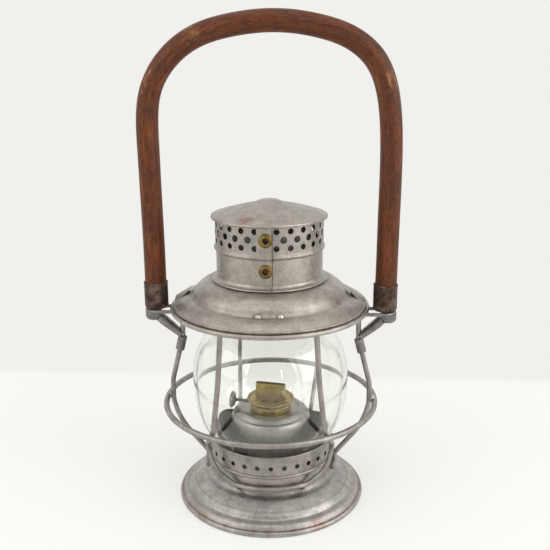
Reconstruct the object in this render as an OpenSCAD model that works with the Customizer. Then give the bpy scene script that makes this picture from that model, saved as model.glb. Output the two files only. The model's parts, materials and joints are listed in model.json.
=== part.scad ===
// Switchman's hand lantern: bell-bottom wire frame, clear globe, pierced chimney lid, flat-wick oil burner and a bail
// of bent wood. Millimetres. Z is up, z = 0 is the floor under the bell rim, the bail stands in the XZ plane and -Y is
// the latch side.

/* [Bell base] */
// outer radius of the rolled foot rim
base_r = 80; // [77:0.5:83]
// radius of the roll round the foot wire
rim_r = 2.6; // [2.4:0.1:2.9]
// outer radius of the neck the collar and hoop stand on
neck_r = 52; // [51:0.25:53]
// thickness of the tinned sheet
sheet = 0.8; // [0.7:0.05:0.9]

/* [Vent collar] */
// height of the pierced collar wall
collar_h = 19.2; // [18.5:0.1:20]
// number of vent holes round the collar
vent_count = 30; // [20:1:32]
// radius of one vent hole
vent_r = 2; // [1.5:0.1:2.3]

/* [Globe] */
// largest outer radius of the globe
globe_r = 65.7; // [63:0.1:66.2]
// wall thickness of the glass
glass = 3; // [2.5:0.1:3.2]

/* [Wire cage] */
// radius of the guard wires
wire_r = 2.1; // [1.9:0.05:2.3]
// radius of the wire of the guard ring
ring_wire_r = 2.4; // [2.1:0.1:2.7]
// height of the guard ring
guard_ring_z = 86; // [82:0.5:90]
// angle of the front and rear guards from the fore-and-aft line
guard_turn = 28.5; // [27:0.5:30]

/* [Top ring and lid] */
// height of the flat of the top ring
top_z = 170.1; // [168.5:0.1:172]
// height from the top ring to the chimney foot
dome_h = 24.5; // [23:0.25:26]
// outer radius of the pierced chimney band
chimney_r = 44.1; // [43:0.1:45]
// height of the chimney above its foot
chimney_h = 49.5; // [48:0.5:52]
// outer radius of the cap
cap_r = 47.5; // [46.5:0.1:49]
// radius of the large chimney holes in the middle row
hole_r = 2.75; // [2.3:0.05:2.9]
// holes in the middle row
hole_count = 23; // [19:1:23]
// clearance between the latch spring and the inside edge of the top ring
latch_gap = 0.9; // [0.8:0.1:1.4]

/* [Bail] */
// half the distance between the two legs of the bail
bail_half = 95.3; // [95:0.1:97]
// radius of the bent wooden rod
bail_r = 8.8; // [8.4:0.1:9.1]
// height of the middle of the rod at the top
bail_top = 396; // [385:1:410]

/* [Fount and burner] */
// radius of the oil fount
fount_r = 34; // [33.4:0.1:34.4]
// width of the flat wick
wick_w = 22; // [20:0.5:23]
// thickness of the flat wick
wick_t = 3; // [2.4:0.1:3.2]
// radius of the wick wheel
wheel_r = 7.2; // [6.5:0.1:7.4]
// turn of the burner on the fount in degrees
burner_turn = -11; // [-20:1:-4]

/* [Hidden] */
$fn = 96;
// radial clearance of turning fits and gap between loose pieces
fit = 0.05;
gap = 0.3;
// the lantern is not quite square: plates and vents, latch, front guard and rear guard are each turned a little
tab_turn = 3.6;
latch_turn = 3.5;
front_turn = 2.8;
rear_turn = -2.2;
// heights taken from the pieces below
neck_top = 40;
tab_top = 37.2;
hoop_z = 29.3;
collar_z = tab_top;
collar_top = collar_z + collar_h;
collar_in = neck_r + 0.2;
collar_out = collar_in + sheet;
seat_z = collar_z + 12.8;
seat_in = neck_r - 5.6;
globe_z = seat_z + 0.1;
globe_h = top_z - 1.8 - globe_z;
foot_r = collar_in - 1.7;
globe_top_r = 45;
tab_out = neck_r + 1.15;
hoop_r = tab_out + wire_r;
side_span = 17;
plate_z = 38.6;
plate_hole = fount_r + 2.4;
shield_r = seat_in - 0.6;
shield_top = 68;
// the top ring reaches out to the loops that carry the bail
ring_to_bail = 14.7;
ring_w = 12.1;
ring_out = bail_half - ring_to_bail;
ring_in = ring_out - ring_w;
ring_t = 0.8;
ring_bead = 1.9;
bead_c = top_z - 0.4;
guard_ring_r = 88.8;
// how far out the guards stand at the guard ring, just inside it
guard_out = guard_ring_r - ring_wire_r - wire_r;
// lid heights
foot_z = top_z + dome_h;
roll_r = 1.2;
brim_r = ring_out - 1.6;
roll_z = bead_c + sqrt(pow(ring_bead + roll_r + gap, 2) - pow(ring_out - brim_r, 2));
cap_z = foot_z + chimney_h + 0.4;
chim_top = cap_z + 2.2;
band_in = chimney_r - sheet;
low_r = chimney_r - 0.6;
bead_z = foot_z + 26.4;
row_z = [bead_z + 7, bead_z + 13.6, bead_z + 20.2];
seam_from = -9;
seam_to = 6.2;
lap_t = 0.6;
eyelet_z = [foot_z + 15.6, bead_z + 13.6];
// hinge
hinge_y = ring_out + 6.6;
hinge_z = top_z + 3;
pin_r = 1.2;
knuckle_r = 2.2;
// bail
bail_big = 142;
bail_bend = 60;
bail_lean = asin((bail_half - bail_bend) / (bail_big - bail_bend));
bail_zc = bail_top - bail_big;
bend_z = bail_zc + (bail_big - bail_bend) * cos(bail_lean);
ferrule_z = top_z - 3.68;
ferrule_r = bail_r + 1.05;
loop_r = 1.5;
loop_z = ferrule_z - loop_r - 0.02;
loop_w = 8.2;
// burner
wheel_z = 82.6;
wheel_x = fount_r - 3.6;
tank_top = 78;
tank_z = 22;
tube_top = 99;
tube_w = wick_w + 4.2;
tube_t = wick_t + 2.2;
tube_wall = 0.5;
burner_in = tube_w / 2 + 0.15;
shaft_r = 1.25;
shaft_y = wick_t / 2 + 2.7;
sprocket_r = shaft_y - wick_t / 2 - 0.1;
deck_z = 84;
bowl_z = tank_top + 2.3;

// unit vector, cross product frame and profile helpers
function unit(v) = v / norm(v);
function tangent(p, i) = unit(p[min(i + 1, len(p) - 1)] - p[max(i - 1, 0)]);
function shifted(p, t) = [for (i = [0:len(p) - 1]) p[i] + t * [-tangent(p, i)[1], tangent(p, i)[0]]];
function turned(a, r) = [r * cos(a), r * sin(a)];
// smooth curve through given points, n steps a span
function curve_at(a, b, c, d, t) = 0.5 * (2 * b + t * (c - a) + t * t * (2 * a - 5 * b + 4 * c - d)
    + t * t * t * (3 * b - a - 3 * c + d));
function smooth(p, n) = concat([for (i = [0:len(p) - 2]) for (k = [0:n - 1])
    curve_at(p[max(i - 1, 0)], p[i], p[i + 1], p[min(i + 2, len(p) - 1)], k / n)], [p[len(p) - 1]]);

// closed outline of a sheet of thickness t lying on the left (t > 0) or right (t < 0) of a path
module strip_outline(path, t) {
    inner = shifted(path, t);
    polygon(concat(path, [for (i = [len(path) - 1:-1:0]) [max(0, inner[i][0]), inner[i][1]]]));
}

// sheet metal spun about Z
module spun(path, t) {
    rotate_extrude()
        strip_outline(path, t);
}

// one bend of a wire, from direction u to direction v round the corner c
module bend(c, u, v, rb, r) {
    ang = acos(max(-1, min(1, u * v)));
    t = rb * tan(ang / 2);
    start = c - t * u;
    inward = unit(v - (u * v) * u);
    centre = start + rb * inward;
    ax = -inward;
    az = cross(ax, u);
    multmatrix([[ax[0], u[0], az[0], centre[0]], [ax[1], u[1], az[1], centre[1]], [ax[2], u[2], az[2], centre[2]],
        [0, 0, 0, 1]])
        rotate_extrude(angle = ang)
            translate([rb, 0])
                circle(r = r);
}

function bend_back(p, i, rb) = i <= 0 || i >= len(p) - 1 ? 0
    : rb[i] * tan(acos(max(-1, min(1, unit(p[i] - p[i - 1]) * unit(p[i + 1] - p[i])))) / 2);

// straight rod between two points
module rod(a, b, r) {
    d = b - a;
    l = norm(d);
    translate(a)
        rotate([0, acos(d[2] / l), atan2(d[1], d[0])])
            cylinder(h = l, r = r);
}

// a hair larger ball hides each join of straight and bend, so the pieces meet cleanly
module joint_ball(c, r) {
    translate(c)
        sphere(r = r * 1.008);
}

// round wire along corner points, each inner corner rounded with its own bend radius
module wire(p, rb, r) {
    e = 0.05;
    for (i = [0:len(p) - 2]) {
        u = unit(p[i + 1] - p[i]);
        a = bend_back(p, i, rb) + (i > 0 ? e : 0);
        b = bend_back(p, i + 1, rb) + (i < len(p) - 2 ? e : 0);
        rod(p[i] + a * u, p[i + 1] - b * u, r);
    }
    for (i = [1:len(p) - 2]) {
        u = unit(p[i] - p[i - 1]);
        v = unit(p[i + 1] - p[i]);
        bend(p[i], u, v, rb[i], r);
        joint_ball(p[i] - bend_back(p, i, rb) * u, r);
        joint_ball(p[i] + bend_back(p, i, rb) * v, r);
    }
}

// radii as a share of the way from neck to foot rim, from globe foot or mouth to its belly, from chimney to brim
flare = base_r - rim_r - 1.6 - neck_r;
function bell_r(k) = neck_r + k * flare;
function belly_up(k) = foot_r + k * (globe_r - foot_r);
function belly_down(k) = globe_top_r + k * (globe_r - globe_top_r);
function lid_r(k) = low_r + k * (brim_r - low_r);

// profiles as [radius, height], from the inside outward and downward
base_path = smooth([[neck_r, 26.5], [neck_r, 24.6], [bell_r(0.038), 22.6], [bell_r(0.126), 21.2],
    [bell_r(0.252), 20.2], [bell_r(0.42), 18], [bell_r(0.6), 15.2], [bell_r(0.7), 13.2], [bell_r(0.745), 11.4],
    [bell_r(0.785), 10.2], [bell_r(0.83), 9.7], [bell_r(0.933), 8.6], [bell_r(1), 7.2],
    [base_r - rim_r - 0.1, rim_r * 2 - 0.45]], 3);
globe_path = smooth([[foot_r, globe_z], [foot_r, globe_z + 2.5], [belly_up(0.026), globe_z + 5],
    [belly_up(0.158), globe_z + 8.5], [belly_up(0.421), globe_z + 15], [belly_up(0.671), globe_z + 24],
    [belly_up(0.901), globe_z + 40], [globe_r, globe_z + 57], [belly_down(0.961), globe_z + 69],
    [belly_down(0.807), globe_z + 81], [belly_down(0.604), globe_z + 90], [belly_down(0.367), globe_z + 97],
    [belly_down(0.135), globe_z + 102.5], [belly_down(0.019), globe_z + 108], [globe_top_r, globe_z + 112],
    [globe_top_r, globe_z + globe_h]], 3);
dome_path = smooth([[low_r + 0.15, foot_z + 0.2], [low_r + 3, foot_z - 0.3], [lid_r(0.183), foot_z - 1.2],
    [lid_r(0.352), foot_z - 4], [lid_r(0.493), foot_z - 8.3], [lid_r(0.583), foot_z - 12.4],
    [lid_r(0.642), foot_z - 14.2], [lid_r(0.718), foot_z - 15.1], [lid_r(0.831), foot_z - 17],
    [brim_r - 1.8, roll_z + 2.2], [brim_r - 0.3, roll_z + roll_r * 0.9]], 3);
chimney_path = concat([[low_r, foot_z - 1.2], [low_r, bead_z - 2.2]],
    [for (a = [-60:20:60]) [chimney_r - 0.4 + 1.6 * cos(a), bead_z + 1.8 * sin(a)]],
    [[chimney_r, bead_z + 2.2], [chimney_r, chim_top]]);

module bell_base() {
    color("#a29d96")
        difference() {
            union() {
                spun(concat([[neck_r, neck_top], [neck_r, 30]], base_path), -sheet);
                rotate_extrude()
                    intersection() {
                        translate([base_r - rim_r, rim_r - 0.4])
                            circle(r = rim_r);
                        translate([base_r - 10, 0])
                            square([20, 20]);
                    }
            }
            rotate_extrude()
                translate([base_r - rim_r, rim_r - 0.2])
                    circle(r = rim_r - 0.9);
        }
}

module foot_wire() {
    color("#7d5a4c")
        rotate_extrude()
            translate([base_r - rim_r, rim_r - 0.2])
                circle(r = rim_r - 0.95);
}

// holes punched through a round wall of radius wall
module radial_holes(count, from, pitch, z, r, wall) {
    for (i = [0:count - 1])
        rotate([0, 0, from + pitch * i])
            translate([wall - 4, 0, z])
                rotate([0, 90, 0])
                    cylinder(h = 8, r = r);
}

module vent_collar() {
    color("#a29d96")
        difference() {
            rotate_extrude()
                difference() {
                    union() {
                        translate([collar_in, collar_z])
                            square([sheet, collar_h]);
                        translate([collar_out, collar_z + 1.5])
                            circle(r = 1.3);
                        translate([collar_out - 0.1, collar_top - 0.6])
                            circle(r = 0.9);
                    }
                    translate([collar_in - 5, collar_z - 5])
                        square([5, collar_h + 10]);
                }
            radial_holes(vent_count, -90 + tab_turn, 360 / vent_count, collar_z + 9.2, vent_r, collar_in);
        }
}

// curved plate with end clips that grip the hoop
module tab(side, span) {
    clip = 3;
    inset = 0.6;
    rotate([0, 0, side - span / 2])
        union() {
            rotate_extrude(angle = span)
                translate([neck_r + 0.02, 25])
                    square([tab_out - neck_r - 0.04, tab_top - 25]);
            for (a = [inset, span - clip - inset])
                rotate([0, 0, a])
                    rotate_extrude(angle = clip)
                        translate([tab_out - 0.5, 25])
                            square([2 * wire_r + 0.6, hoop_z - wire_r - 25.05]);
        }
}

module front_tab() {
    color("#a29d96")
        tab(-90 + tab_turn, 60);
}

module rear_tab() {
    color("#a29d96")
        tab(90 + rear_turn, 44);
}

// point on a guard, by its angle from the fore-and-aft line, and point along the tangent where its hoop run ends
function guard_at(a, r, z) = [-r * sin(a), -r * cos(a), z];
function off_hoop(a, u, z) = [-hoop_r * sin(a) - u * cos(a), -hoop_r * cos(a) + u * sin(a), z];

// left leg of a guard from the guard ring down to the hoop: a = angles at the ring and at the end of the hoop run,
// kink = how far the corner stands out at the ring, low = corners [along the tangent, height] of the U below it
function leg_points(a, kink, low) = [
    guard_at(a[0], guard_out + kink, guard_ring_z),
    off_hoop(a[1], low[2][0], low[2][1]),
    off_hoop(a[1], low[1][0], low[1][1]),
    off_hoop(a[1], low[0][0], low[0][1]),
    off_hoop(a[1], -0.1, hoop_z)];
function leg_top(a) = guard_at(a, ring_out - 4.15, top_z - ring_t - 0.32);

module u_guard(points, bends, from) {
    union() {
        wire(points, bends, wire_r);
        mirror([1, 0, 0])
            wire(points, bends, wire_r);
        rotate([0, 0, 270 - from])
            rotate_extrude(angle = 2 * from)
                translate([hoop_r, hoop_z])
                    circle(r = wire_r);
        for (a = [270 - from, 270 + from])
            joint_ball([hoop_r * cos(a), hoop_r * sin(a), hoop_z], wire_r);
    }
}

module front_guard() {
    g = guard_turn;
    color("#9b9492")
        rotate([0, 0, front_turn])
            u_guard(concat([leg_top(g), guard_at(g + 0.4, ring_out - 0.5, 130)],
                leg_points([g + 1.9, 26], 1.67, [[6, hoop_z], [25.5, 39.3], [30.8, 61]])),
                [0, 200, 14, 13, 20, 14, 0], 26);
}

module rear_guard() {
    color("#9b9492")
        rotate([0, 0, 180 + rear_turn])
            u_guard(concat([leg_top(29.8)], leg_points([26.8, 20], 1.65, [[5.5, hoop_z], [14, 36.5], [16.5, 60]])),
                [0, 14, 12, 12, 9, 0], 20);
}

// side guard: plumb at the top, out through the brace sleeve to the ring, then in to a short foot of hoop wire
side_x = ring_out - 6.6;
side_kink = [side_x, 142];
side_low = [guard_out - 0.1, guard_ring_z + 15];
side_line = unit([side_low[0] - side_kink[0], 0, side_low[1] - side_kink[1]]);
function side_at(z) = side_x + (side_low[0] - side_x) * (z - side_kink[1]) / (side_low[1] - side_kink[1]);

module side_guard() {
    union() {
        wire([[side_x, 0, top_z - ring_t - 0.05], [side_x, 0, side_kink[1]], [side_low[0], 0, side_low[1]],
            [guard_out - 0.05, 0, guard_ring_z - 3], [79.5, 0, 64], [hoop_r, 0, hoop_z + 5.5], [hoop_r, 0, hoop_z]],
            [0, 20, 24, 24, 60, 3, 0], wire_r);
        rotate([0, 0, -side_span])
            rotate_extrude(angle = 2 * side_span)
                translate([hoop_r, hoop_z])
                    circle(r = wire_r);
    }
}

module left_guard() {
    color("#9b9492")
        mirror([1, 0, 0])
            side_guard();
}

module right_guard() {
    color("#9b9492")
        side_guard();
}

module guard_ring() {
    color("#9b9492")
        rotate_extrude()
            translate([guard_ring_r, guard_ring_z])
                circle(r = ring_wire_r);
}

module top_ring() {
    color("#a29d96")
        rotate_extrude()
            union() {
                translate([ring_in, top_z - ring_t])
                    square([ring_out - ring_in, ring_t]);
                translate([ring_out, bead_c])
                    circle(r = ring_bead);
                translate([ring_in + 0.4, top_z - ring_t - 2.4])
                    square([ring_t, 2.8]);
            }
}

module globe_seat() {
    color("#8d8880")
        rotate_extrude()
            union() {
                translate([seat_in, seat_z - sheet])
                    square([collar_in - 0.02 - seat_in, sheet]);
                translate([collar_in - 0.02 - sheet, seat_z - sheet])
                    square([sheet, sheet + 4]);
            }
}

module globe() {
    color("#dfe8dc", 0.35)
        spun(globe_path, glass);
}

module fount_plate() {
    color("#8d8880")
        rotate_extrude()
            union() {
                translate([plate_hole, plate_z])
                    square([neck_r - sheet - 0.02 - plate_hole, sheet]);
                translate([plate_hole, plate_z - 3])
                    square([sheet, 3.4]);
            }
}

// curved wing on the fount plate, centred on +X, its top edge cut to an arch
module shield() {
    arch = 60;
    intersection() {
        rotate([0, 0, -57])
            rotate_extrude(angle = 114)
                union() {
                    translate([shield_r - 0.7, plate_z + sheet])
                        square([0.7, shield_top - plate_z]);
                    translate([shield_r - 4, plate_z + sheet])
                        square([3.6, 0.7]);
                }
        translate([10, 0, shield_top - arch])
            rotate([0, 90, 0])
                cylinder(h = 50, r = arch);
    }
}

module left_shield() {
    color("#8d8880")
        rotate([0, 0, 180])
            shield();
}

module right_shield() {
    color("#8d8880")
        shield();
}

// flat-lying wire loop that carries the foot of the bail
module ear() {
    union() {
        wire([[ring_out - 9, -loop_w, loop_z], [bail_half, -loop_w, loop_z]], [0, 0], loop_r);
        wire([[ring_out - 9, loop_w, loop_z], [bail_half, loop_w, loop_z]], [0, 0], loop_r);
        translate([bail_half, 0, loop_z])
            rotate([0, 0, -90])
                rotate_extrude(angle = 180)
                    translate([loop_w, 0])
                        circle(r = loop_r);
        for (s = [-1, 1])
            translate([ring_out - 9, s * loop_w, loop_z])
                cylinder(h = top_z - ring_t - loop_z, r = loop_r);
        for (s = [-1, 1])
            translate([ring_out - 9, s * loop_w, loop_z])
                sphere(r = loop_r);
    }
}

module left_ear() {
    color("#8b8480")
        mirror([1, 0, 0])
            ear();
}

module right_ear() {
    color("#8b8480")
        ear();
}

// pressed brace: round-ended cup under the loop that runs on as an open tube to a sleeve round the side guard
head_top = loop_z - loop_r - 0.02;
head_x = bail_half + 2.5;
head_r = loop_w + loop_r - 2.5;
head_c = 3.6;
arm_top = [bail_half - 1.1, 0, head_top - 4.6];
arm_foot = [side_x + 1, 0, side_kink[1] + 0.9];
arm_tilt = atan2(arm_top[0] - arm_foot[0], arm_top[2] - arm_foot[2]);
sleeve_z = side_kink[1] - 1;
module brace_body(inset) {
    translate([head_x, 0, 0])
        rotate_extrude()
            union() {
                translate([0, head_top - head_c])
                    square([head_r - inset, head_c]);
                translate([head_r - head_c, head_top - head_c])
                    circle(r = head_c - inset);
                translate([0, head_top - 2 * head_c + inset])
                    square([head_r - head_c, 2 * head_c - inset]);
            }
    translate(arm_top)
        rotate([0, 180 + arm_tilt, 0])
            cylinder(h = norm(arm_foot - arm_top), r1 = 4.6 - inset, r2 = 3.4 - inset);
}

module brace() {
    difference() {
        union() {
            difference() {
                brace_body(0);
                brace_body(0.9);
            }
            intersection() {
                brace_body(0);
                translate([bail_half - 30, -20, head_top - 1.1])
                    cube([60, 40, 1.1]);
            }
            translate([side_at(sleeve_z), 0, sleeve_z])
                rotate([0, 180 - asin(side_line[0]), 0])
                    cylinder(h = 12, r = wire_r + 1.7);
        }
        translate([bail_half - 2.1, 0, head_top])
            rotate([0, -43, 0])
                translate([-60, -20, 0])
                    cube([120, 40, 60]);
        translate([side_at(side_kink[1]), 0, side_kink[1]])
            rotate([0, 180 - asin(side_line[0]), 0])
                cylinder(h = 20, r = wire_r + 0.03);
        translate([side_x, 0, side_kink[1] - 1.5])
            cylinder(h = 30, r = wire_r + 0.3);
        translate([bail_half, 0, head_top - 3])
            cylinder(h = 8, r = 2.1);
        translate([bail_half, 0, head_top - 20])
            cylinder(h = 20 - 1.1, r = 3.6);
    }
}

module left_brace() {
    color("#8b8480")
        mirror([1, 0, 0])
            brace();
}

module right_brace() {
    color("#8b8480")
        brace();
}

// steel cup over each end of the rod
module ferrule() {
    translate([bail_half, 0, 0])
        rotate_extrude()
            difference() {
                union() {
                    polygon([[0, ferrule_z], [ferrule_r - 2.2, ferrule_z], [ferrule_r - 0.9, ferrule_z + 0.5],
                        [ferrule_r - 0.15, ferrule_z + 1.7], [ferrule_r, ferrule_z + 3.2],
                        [ferrule_r, ferrule_z + 22.3], [0, ferrule_z + 22.3]]);
                    translate([ferrule_r - 0.45, ferrule_z + 22])
                        circle(r = 0.7);
                }
                translate([-1, ferrule_z + 1.3])
                    square([bail_r + 0.05 + 1, 30]);
                translate([-1, ferrule_z - 1])
                    square([3.1, 5]);
            }
}

module left_ferrule() {
    color("#5c4a40")
        mirror([1, 0, 0])
            ferrule();
}

module right_ferrule() {
    color("#5c4a40")
        ferrule();
}

module bail() {
    z0 = ferrule_z + 1.32;
    color("#5a3828")
        difference() {
            union() {
                for (s = [-1, 1]) {
                    translate([s * bail_half, 0, z0])
                        cylinder(h = bend_z - z0 - 0.1, r = bail_r);
                    joint_ball([s * bail_half, 0, bend_z], bail_r);
                    joint_ball([s * bail_big * sin(bail_lean), 0, bail_zc + bail_big * cos(bail_lean)], bail_r);
                }
                for (s = [0, 1])
                    mirror([s, 0, 0])
                        translate([bail_half - bail_bend, 0, bend_z])
                            rotate([90, 0, 0])
                                rotate_extrude(angle = 90 - bail_lean - 0.1)
                                    translate([bail_bend, 0])
                                        circle(r = bail_r);
                translate([0, 0, bail_zc])
                    rotate([90, 0, 0])
                        rotate([0, 0, 90 - bail_lean + 0.1])
                            rotate_extrude(angle = 2 * bail_lean - 0.2)
                                translate([bail_big, 0])
                                    circle(r = bail_r);
            }
            for (s = [-1, 1])
                translate([s * bail_half, 0, z0 - 1])
                    cylinder(h = 28.6, r = 2.02);
        }
}

// screw from below through the brace, the loop and the ferrule floor into the rod
module bail_screw() {
    translate([bail_half, 0, 0])
        union() {
            translate([0, 0, head_top - 2.9])
                cylinder(h = 1.78, r1 = 2.2, r2 = 3.4);
            translate([0, 0, loop_z - loop_r - 1.5])
                cylinder(h = 30, r = 2);
        }
}

module left_screw() {
    color("#6b625c")
        mirror([1, 0, 0])
            bail_screw();
}

module right_screw() {
    color("#6b625c")
        bail_screw();
}

// hinge at the rear of the top ring: frame leaf holds the pin, lid leaf turns on it
module knuckle(x0, x1, r) {
    translate([x0, hinge_y, hinge_z])
        rotate([0, 90, 0])
            cylinder(h = x1 - x0, r = r);
}

module frame_hinge() {
    flange_z = top_z - ring_t - 1.02;
    leaf_z = bead_c - ring_bead - 1.03;
    inner_y = ring_out - 4.2;
    color("#8b8480")
        difference() {
            union() {
                for (x = [-11, 5.3]) {
                    knuckle(x, x + 5.7, knuckle_r);
                    translate([x, hinge_y - knuckle_r, leaf_z])
                        cube([5.7, 1, hinge_z - leaf_z]);
                }
                translate([-11, inner_y, leaf_z])
                    cube([22, hinge_y - knuckle_r + 1 - inner_y, 1]);
                translate([-11, inner_y, leaf_z])
                    cube([22, 1, flange_z + 1 - leaf_z]);
                translate([-11, ring_in + 2.5, flange_z])
                    cube([22, inner_y + 1 - ring_in - 2.5, 1]);
            }
            knuckle(-20, 20, pin_r);
        }
}

module hinge_pin() {
    color("#6b625c")
        union() {
            knuckle(-11.4, 11.4, pin_r);
            for (x = [-12.4, 11])
                knuckle(x, x + 1.4, 1.8);
        }
}

module lid_hinge() {
    top = roll_z + roll_r + 0.35;
    color("#8b8480")
        difference() {
            union() {
                knuckle(-5, 5, knuckle_r);
                intersection() {
                    rotate_extrude()
                        strip_outline(concat([for (i = [18:27]) shifted(dome_path, 0.04)[i]],
                            [[brim_r + 0.3, top], [hinge_y - 0.4, top]]), 0.9);
                    translate([-5, 60, 0])
                        cube([10, 40, 300]);
                }
            }
            knuckle(-20, 20, pin_r + fit);
        }
}

// place of a latch rivet: on the crease, square to the sheet
rivet_i = 17;
rivet_p = dome_path[rivet_i];
rivet_t = tangent(dome_path, rivet_i);
module at_rivet(s) {
    rotate([0, 0, -90 + latch_turn + s * 7.6])
        translate([rivet_p[0], 0, rivet_p[1]])
            rotate([0, atan2(-rivet_t[1], rivet_t[0]), 0])
                children();
}

// air scoop pressed up from the shoulder: half a tube whose crest falls outward, its slanting mouth to the chimney
scoop_lip = [lid_r(0.577), 0, foot_z - 8.5];
module scoop_body(inset) {
    translate(scoop_lip)
        rotate([0, 31, 0])
            translate([-12, 0, -12.5])
                rotate([0, 90, 0])
                    cylinder(h = 34, r = 12.5 - inset);
}

module scoop() {
    difference() {
        intersection() {
            scoop_body(0);
            cylinder(h = 250, r = brim_r - 0.4);
        }
        intersection() {
            scoop_body(0.8);
            cylinder(h = 250, r = brim_r - 1.2);
        }
        translate(scoop_lip)
            rotate([0, 45, 0])
                translate([-60, -30, -60])
                    cube([120, 60, 60]);
        rotate_extrude()
            polygon(concat([for (p = dome_path) p - [0.3, 0.3]], [[brim_r + 3, roll_z], [brim_r + 3, 100], [30, 100],
                [30, foot_z]]));
    }
}

module dome() {
    color("#a8a29b")
        difference() {
            union() {
                difference() {
                    rotate_extrude()
                        union() {
                            strip_outline(dome_path, -sheet);
                            translate([brim_r, roll_z])
                                circle(r = roll_r);
                        }
                    for (s = [0, 180])
                        rotate([0, 0, s])
                            intersection() {
                                scoop_body(1.6);
                                translate([lid_r(0.66), -6, 0])
                                    cube([lid_r(0.9) - lid_r(0.66), 12, 400]);
                            }
                }
                for (s = [0, 180])
                    rotate([0, 0, s])
                        scoop();
            }
            for (s = [-1, 1])
                at_rivet(s)
                    cylinder(h = 8, r = 1.3, center = true);
        }
}

module globe_keeper() {
    z1 = globe_z + globe_h + gap;
    color("#8d8880")
        spun([[globe_top_r - 4, z1], [globe_top_r + 4.6, z1], [globe_top_r + 6, z1 + 1],
            [lid_r(0.344), foot_z - 4.9]], 0.8);
}

module chimney_foot() {
    color("#a8a29b")
        rotate_extrude()
            difference() {
                polygon(smooth([[low_r + 0.02, foot_z + 4], [low_r + 0.7, foot_z + 2.4], [low_r + 2.2, foot_z + 1.5],
                    [low_r + 3.8, foot_z + 1.1], [low_r + 4.1, foot_z + 0.4], [low_r + 3.8, foot_z + 0.2],
                    [low_r + 0.02, foot_z + 0.5]], 2));
                polygon(concat([for (p = dome_path) p + [0.02, 0.02]], [[60, 100], [30, 100], [30, foot_z + 0.3]]));
            }
}

module hole_pattern() {
    pitch = 338 / hole_count;
    radial_holes(hole_count + 1, -90 + 11, pitch, row_z[0], hole_r * 0.87, band_in);
    radial_holes(hole_count, -90 + 11 + pitch / 2, pitch, row_z[1], hole_r, band_in);
    radial_holes(hole_count + 1, -90 + 11, pitch, row_z[2], hole_r * 0.87, band_in);
}

module eyelet_holes(r) {
    for (z = eyelet_z)
        translate([0, -chimney_r + 6, z])
            rotate([90, 0, 0])
                cylinder(h = 12, r = r);
}

module chimney() {
    color("#a8a29b")
        difference() {
            spun(chimney_path, sheet);
            hole_pattern();
            eyelet_holes(3.22);
        }
}

module seam_strip() {
    outer = shifted(chimney_path, -0.02);
    color("#a8a29b")
        difference() {
            rotate([0, 0, -90 + seam_from])
                rotate_extrude(angle = seam_to - seam_from)
                    strip_outline(concat([[low_r + 0.02, foot_z + 4.2]], [for (i = [1:len(outer) - 2]) outer[i]],
                        [[chimney_r + 0.02, cap_z - 0.2]]), -lap_t);
            eyelet_holes(3.22);
        }
}

// brass eyelet clamping the seam
module eyelet(z, r_face) {
    color("#9a8344")
        translate([0, 0, z])
            rotate([90, 0, 0])
                rotate_extrude()
                    difference() {
                        union() {
                            translate([2.45, r_face - 2.25])
                                square([0.75, 2.8]);
                            intersection() {
                                translate([3.6, r_face - 0.1])
                                    circle(r = 1.9);
                                translate([2.45, r_face + 0.02])
                                    square([3.1, 2]);
                            }
                            translate([2.45, r_face - 2.25])
                                square([2.2, 0.5]);
                        }
                        translate([0, r_face - 5])
                            square([2.45, 10]);
                    }
}

module upper_eyelet() {
    eyelet(eyelet_z[1], chimney_r + lap_t + 0.02);
}

module lower_eyelet() {
    eyelet(eyelet_z[0], low_r + lap_t + 0.02);
}

module flue_tube() {
    color("#5f5b57")
        spun([[34, bead_z + 17], [32, bead_z + 14], [32, bead_z - 2.6], [34, bead_z - 5],
            [low_r - sheet - 0.02, bead_z - 5]], -0.7);
}

module chimney_cap() {
    color("#a8a29b")
        union() {
            spun(smooth([[0, cap_z + 14.8], [4, cap_z + 14.6], [8, cap_z + 13.8], [11.2, cap_z + 12.4],
                [13.6, cap_z + 11.4], [18, cap_z + 10.4], [28, cap_z + 8], [38, cap_z + 5.2],
                [cap_r - 3, cap_z + 3.1], [cap_r - 1, cap_z + 2.2]], 3), -sheet);
            rotate_extrude()
                translate([cap_r - 1.3, cap_z + 1.25])
                    circle(r = 1.3);
            rotate_extrude()
                translate([band_in - 0.74, cap_z - 0.2])
                    square([0.7, 3.4]);
        }
}

module latch_spring() {
    color("#7f7a74")
        difference() {
            intersection() {
                rotate_extrude()
                    strip_outline(concat([for (i = [13:19]) shifted(dome_path, -sheet - 0.03)[i]],
                        [[ring_in - latch_gap, top_z + 4], [ring_in - latch_gap, top_z - 4.5]]), -0.7);
                rotate([0, 0, latch_turn])
                    translate([-13, -90, 0])
                        cube([26, 60, 300]);
            }
            for (s = [-1, 1])
                at_rivet(s)
                    cylinder(h = 8, r = 1.3, center = true);
        }
}

module rivet(s) {
    color("#c9c4bc")
        union() {
            difference() {
                at_rivet(s)
                    intersection() {
                        translate([0, 0, -0.7])
                            sphere(r = 2.6);
                        translate([-5, -5, -0.6])
                            cube([10, 10, 5]);
                    }
                rotate_extrude()
                    polygon(concat([for (p = dome_path) p + [0.03, 0.03]], [[77, 100], [30, 100], [30, foot_z]]));
            }
            at_rivet(s)
                translate([0, 0, -sheet - 1.5])
                    cylinder(h = sheet + 2.5, r = 1.25);
            at_rivet(s)
                translate([0, 0, -sheet - 1.58])
                    cylinder(h = 0.8, r = 1.8);
        }
}

module left_rivet() {
    rivet(-1);
}

module right_rivet() {
    rivet(1);
}

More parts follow.
